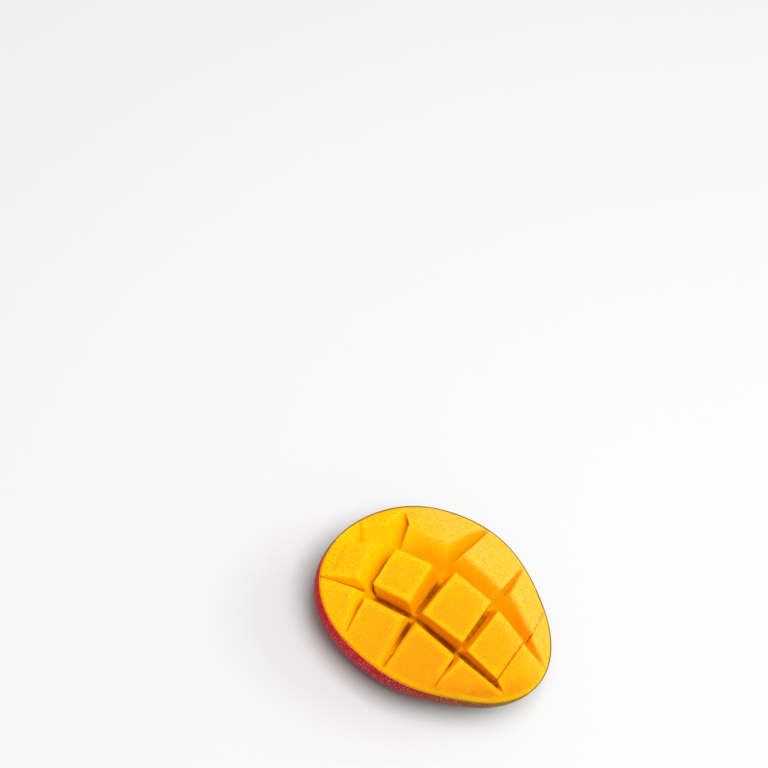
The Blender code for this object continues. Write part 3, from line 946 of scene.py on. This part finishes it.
def skin_material(settings):
    """Ripe skin: a crimson blush that fades through brown to olive green, with pale specks."""
    skin = Finish("mango skin")
    place = skin.place()
    x, y, z = skin.split(place)
    clouds = skin.noise(place, 16.0, 3.0, 0.55)
    streaks = skin.noise(place, 2.2, 4.0, 0.65)
    sun = (x * -0.5 + y * -0.8) / 50.0 + (clouds - 0.5) * 0.5 + (streaks - 0.5) * 0.25
    colour = skin.mix(skin.ramp(sun, -0.35, 0.15), settings.green_colour, settings.warm_colour)
    blush = skin.mix(skin.ramp(x, -58.0, -36.0), LEFT_BLUSH_COLOUR, settings.blush_colour)
    # Painted shade: the blush darkens towards the right end.
    blush = skin.mix(skin.ramp(x, -36.0, 12.0), blush, SHADED_BLUSH_COLOUR)
    colour = skin.mix(skin.ramp(sun, 0.34, 0.80), colour, blush)
    colour = skin.mix(skin.ramp(streaks, 0.35, 0.75, 0.25, 0.0), colour, STREAK_COLOUR)
    speck_place = skin.node("ShaderNodeMapping", {}, {"Vector": place, "Scale": (0.9, 0.9, 1.5)})
    specks = skin.node("ShaderNodeTexVoronoi", {"feature": "F1"},
                       {"Vector": speck_place, "Scale": 0.9})
    spread = skin.ramp(skin.noise(place, 4.0, 2.0, 0.5), 0.35, 0.6, 0.5, 1.0)
    spread = spread * skin.ramp(x, -54.0, -30.0, 0.25, 1.0)
    dots = skin.ramp(specks, 0.18, 0.42, 1.0, 0.0) * spread
    speck_colour = skin.mix(skin.ramp(sun, 0.0, 0.5), SHADE_SPECK_COLOUR, SUN_SPECK_COLOUR)
    colour = skin.mix(dots * 0.75, colour, speck_colour)
    # Painted shade: darker towards the bottom of the bowl.
    colour = skin.mix(skin.ramp(z, -15.0, -5.0, 0.5, 0.0), colour, UNDERSIDE_SHADE, "MULTIPLY")
    sunny_edge = skin.ramp(sun, 0.15, 0.55) * skin.ramp(y, -20.0, -8.0, 1.0, 0.0)
    edge_colour = skin.mix(sunny_edge, SHADE_EDGE_COLOUR, settings.edge_colour)
    colour = skin.mix(skin.ramp(z, -0.35, -0.05), colour, edge_colour)
    pores = skin.noise(place, 1.1, 2.0, 0.5)
    normal = skin.bump(pores * 0.5 + dots * 0.4, 0.0003)
    skin.set(base_color=colour, roughness=0.42 + (pores - 0.5) * 0.15, normal=normal, ior=1.45,
             specular_ior_level=0.06)
    return skin.material


def floor_material(settings):
    """Plain matt paper."""
    floor = Finish("floor paper")
    floor.set(base_color=settings.floor_colour, roughness=0.9)
    return floor.material


class MANGO_PT_panel(bpy.types.Panel):
    """The pieces of the cubed mango half"""
    bl_idname = "MANGO_PT_panel"
    bl_label = "Cubed mango half"
    bl_space_type = "VIEW_3D"
    bl_region_type = "UI"
    bl_category = "Mango"

    def draw(self, context):
        layout = self.layout
        for settings, operator in ((context.scene.mango_flesh, MANGO_OT_flesh),
                                   (context.scene.mango_skin, MANGO_OT_skin),
                                   (context.scene.mango_stage, MANGO_OT_stage)):
            box = layout.box()
            for name in type(settings).__annotations__:
                box.prop(settings, name)
            box.operator(operator.bl_idname)


CLASSES = (FleshSettings, SkinSettings, StageSettings, MANGO_OT_flesh, MANGO_OT_skin, MANGO_OT_stage,
           MANGO_PT_panel)


def register():
    for item in CLASSES:
        bpy.utils.register_class(item)
    bpy.types.Scene.mango_flesh = bpy.props.PointerProperty(type=FleshSettings)
    bpy.types.Scene.mango_skin = bpy.props.PointerProperty(type=SkinSettings)
    bpy.types.Scene.mango_stage = bpy.props.PointerProperty(type=StageSettings)


def unregister():
    for name in ("mango_flesh", "mango_skin", "mango_stage"):
        delattr(bpy.types.Scene, name)
    for item in reversed(CLASSES):
        bpy.utils.unregister_class(item)


def main():
    register()
    bpy.ops.mango.flesh()
    bpy.ops.mango.skin()
    bpy.ops.mango.stage()


if __name__ == "__main__":
    main()
